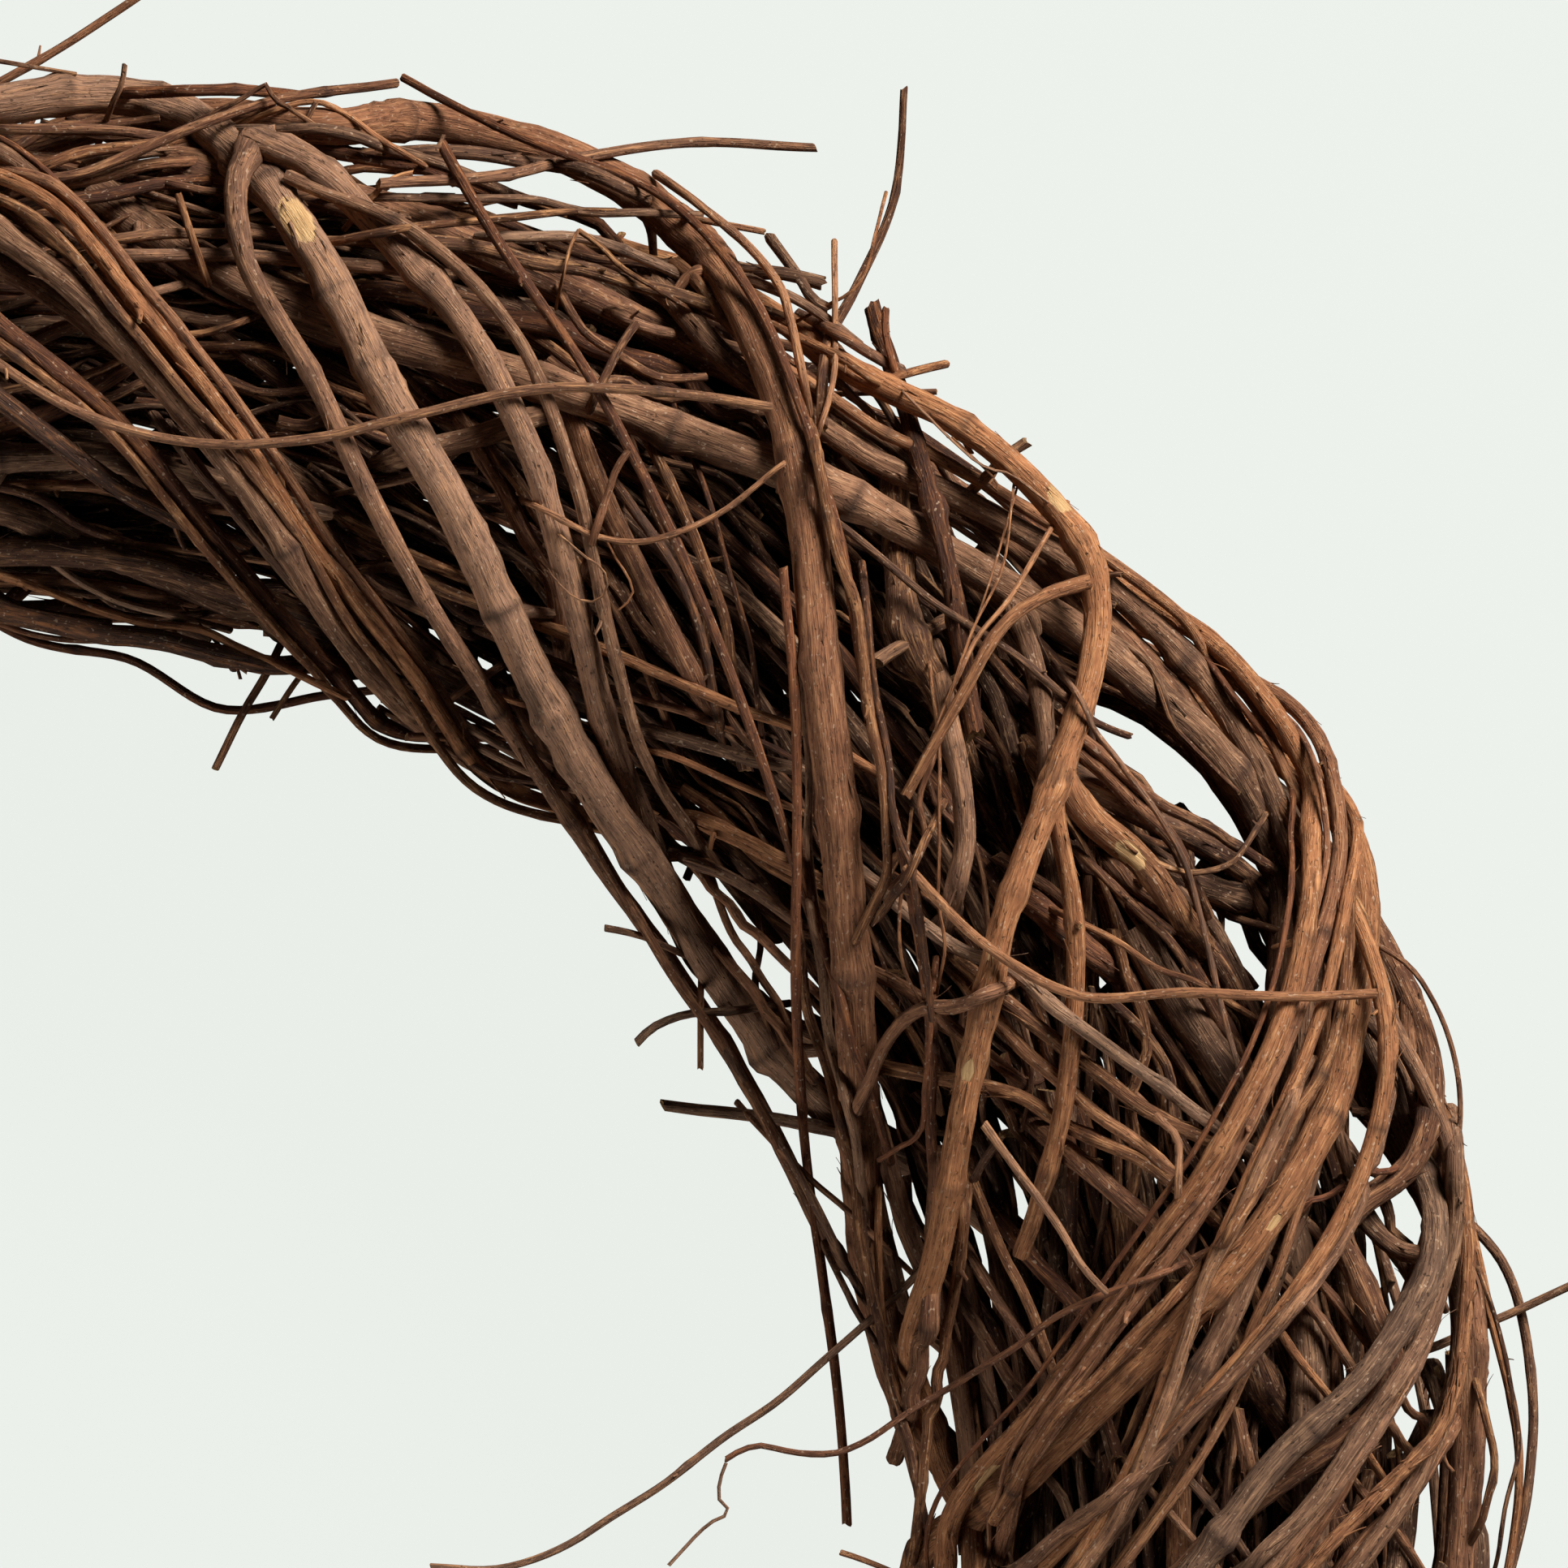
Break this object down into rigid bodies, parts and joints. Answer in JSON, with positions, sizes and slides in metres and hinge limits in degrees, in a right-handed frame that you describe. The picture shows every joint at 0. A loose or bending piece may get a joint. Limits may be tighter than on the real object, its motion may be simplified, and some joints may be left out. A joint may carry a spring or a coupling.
{
  "type": "grapevine wreath base",
  "caption": "Round wreath base of dried vine canes: long core canes run along the ring and others wind round them, with stray twigs and cut ends, lying flat.",
  "frame": {"origin": "middle of the ring on the surface it lies on", "axes": "+Z through the ring's hole, away from the surface; +Y to the top of the ring as the picture shows it, +X to its right"},
  "size_m": [0.4857, 0.4919, 0.088],
  "materials": {
    "grey_bark": "matte",
    "brown_bark": "matte",
    "red_bark": "matte",
    "tan_bark": "matte"
  },
  "bodies": {
    "root": {"bottom_twig": "tan_bark", "bundle_wrap_1": "tan_bark", "bundle_wrap_2": "brown_bark", "bundle_wrap_3": "tan_bark", "bundle_wrap_4": "tan_bark", "core_cane_1": "brown_bark", "core_cane_2": "grey_bark", "core_cane_3": "brown_bark", "core_cane_4": "red_bark", "core_cane_5": "grey_bark", "core_cane_6": "brown_bark", "core_cane_7": "tan_bark", "core_cane_8": "brown_bark", "core_cane_9": "grey_bark", "corner_twig": "brown_bark", "cross_twig": "tan_bark", "dark_stub": "red_bark", "dark_twig": "red_bark", "grey_twig": "grey_bark", "inner_stub": "grey_bark", "inner_twig": "red_bark", "knot_cane": "brown_bark", "left_twig": "brown_bark", "left_wrap": "grey_bark", "long_cane": "grey_bark", "long_red_twig": "red_bark", "loop_cane": "tan_bark", "orange_wrap": "tan_bark", "outer_wrap_1": "brown_bark", "outer_wrap_2": "tan_bark", "outer_wrap_3": "grey_bark", "over_twig": "tan_bark", "red_twig": "red_bark", "rim_twig": "tan_bark", "rough_grey_cane": "grey_bark", "second_left_wrap": "red_bark", "side_loop_twig": "brown_bark", "side_twig": "tan_bark", "stout_wrap": "tan_bark", "thick_wrap": "brown_bark", "top_twig_left": "brown_bark", "top_twig_right": "brown_bark", "upper_cane": "grey_bark", "upright_twig": "brown_bark", "wide_left_wrap": "grey_bark", "wrap_1_1": "brown_bark", "wrap_1_2": "grey_bark", "wrap_1_3": "tan_bark", "wrap_2_1": "red_bark", "wrap_2_2": "brown_bark", "wrap_3_1": "grey_bark", "wrap_3_2": "brown_bark", "wrap_3_3": "tan_bark", "wrap_4_1": "brown_bark", "wrap_4_2": "grey_bark", "wrap_5_1": "tan_bark", "wrap_5_2": "brown_bark", "wrap_6_1": "grey_bark", "wrap_6_2": "red_bark", "wrap_7_1": "brown_bark"}
  },
  "joints": []
}
